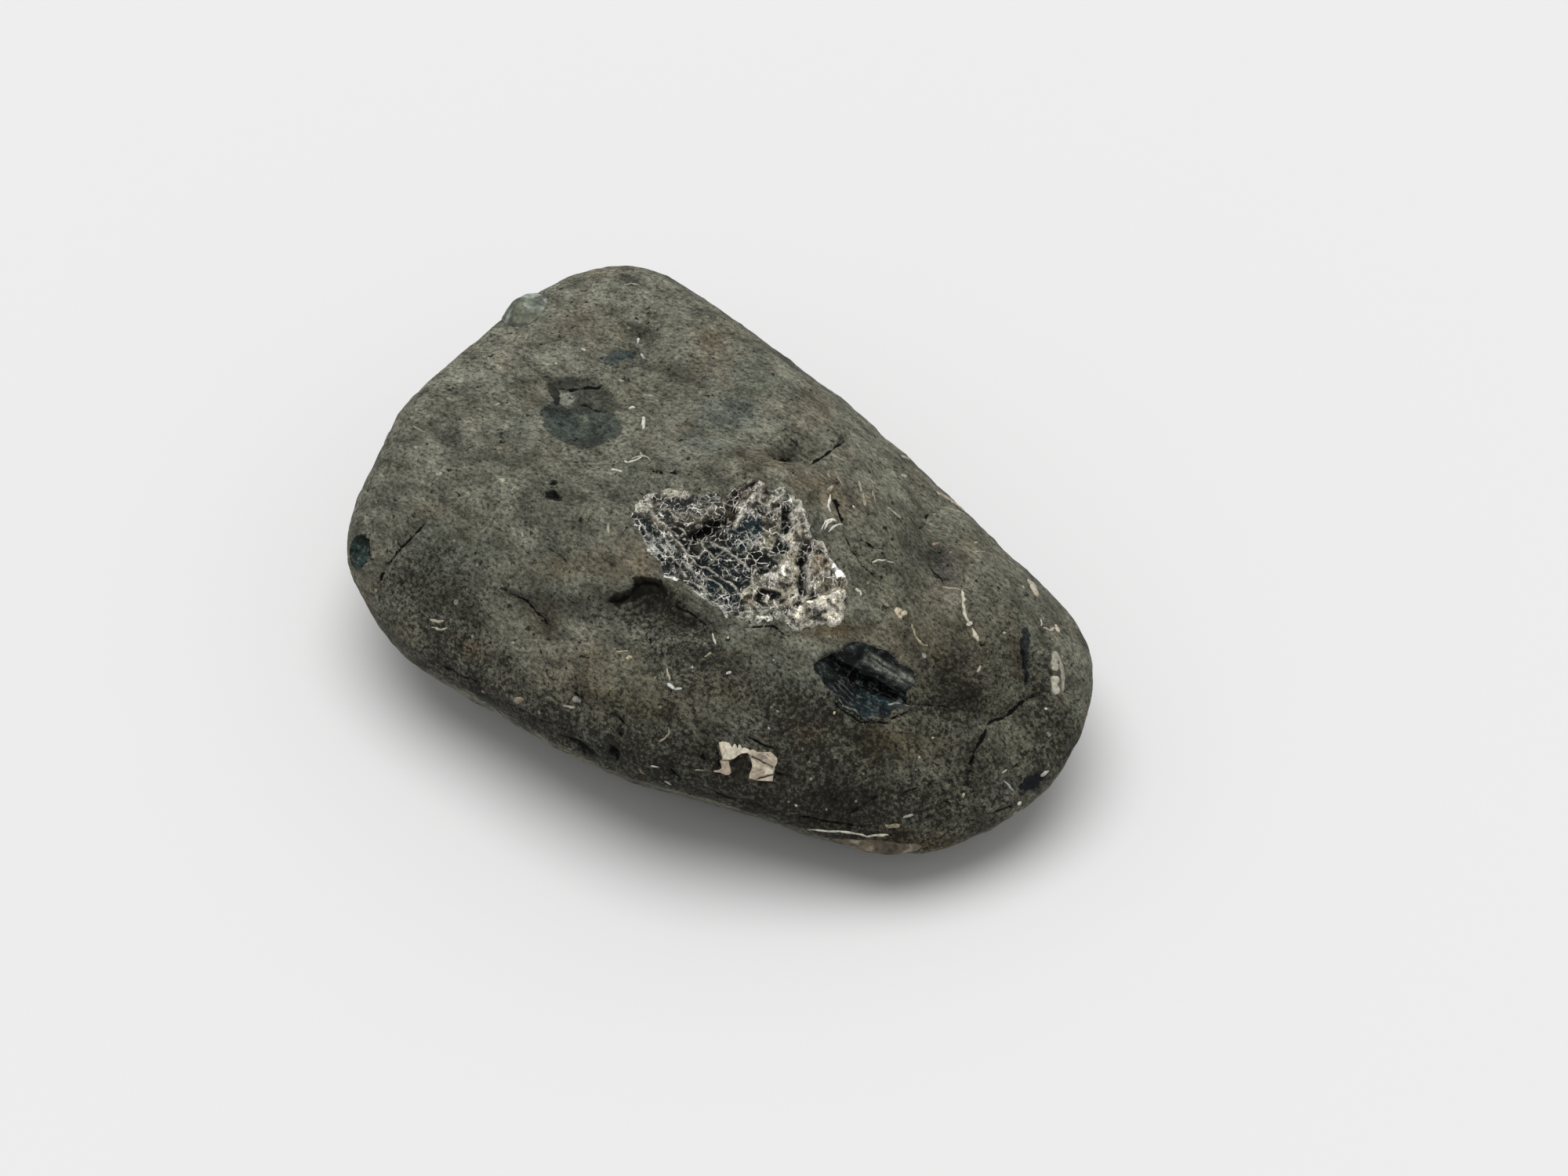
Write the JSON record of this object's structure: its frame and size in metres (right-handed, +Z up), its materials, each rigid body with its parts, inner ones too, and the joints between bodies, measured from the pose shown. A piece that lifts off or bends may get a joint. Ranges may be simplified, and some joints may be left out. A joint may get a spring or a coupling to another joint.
{
  "type": "fossil carditid bivalve",
  "caption": "Loose, water-worn nodule of dark siltstone with a broken ribbed bivalve shell fixed in its upper face and smaller shells round it; rests on a flat spot.",
  "frame": {"origin": "centre of the bounding box in X and Y, at the floor that the stone rests on", "axes": "+X along the stone's length towards its narrow end, +Z up, +Y to the side away from the ribbed shell's lower edge"},
  "size_m": [0.1038, 0.0763, 0.0368],
  "materials": {
    "siltstone": "matte, water-worn",
    "ribbed_shell": "satin, crazed",
    "dark_shell": "satin, smooth",
    "cream_shell": "matte, chalky",
    "pale_shell": "satin, worn"
  },
  "bodies": {
    "root": {"matrix_stone": "siltstone", "carditid_shell": "ribbed_shell", "dark_valve": "dark_shell", "cream_fragment": "cream_shell", "rim_shell": "pale_shell", "edge_valve": "dark_shell", "base_shell": "pale_shell"}
  },
  "joints": []
}
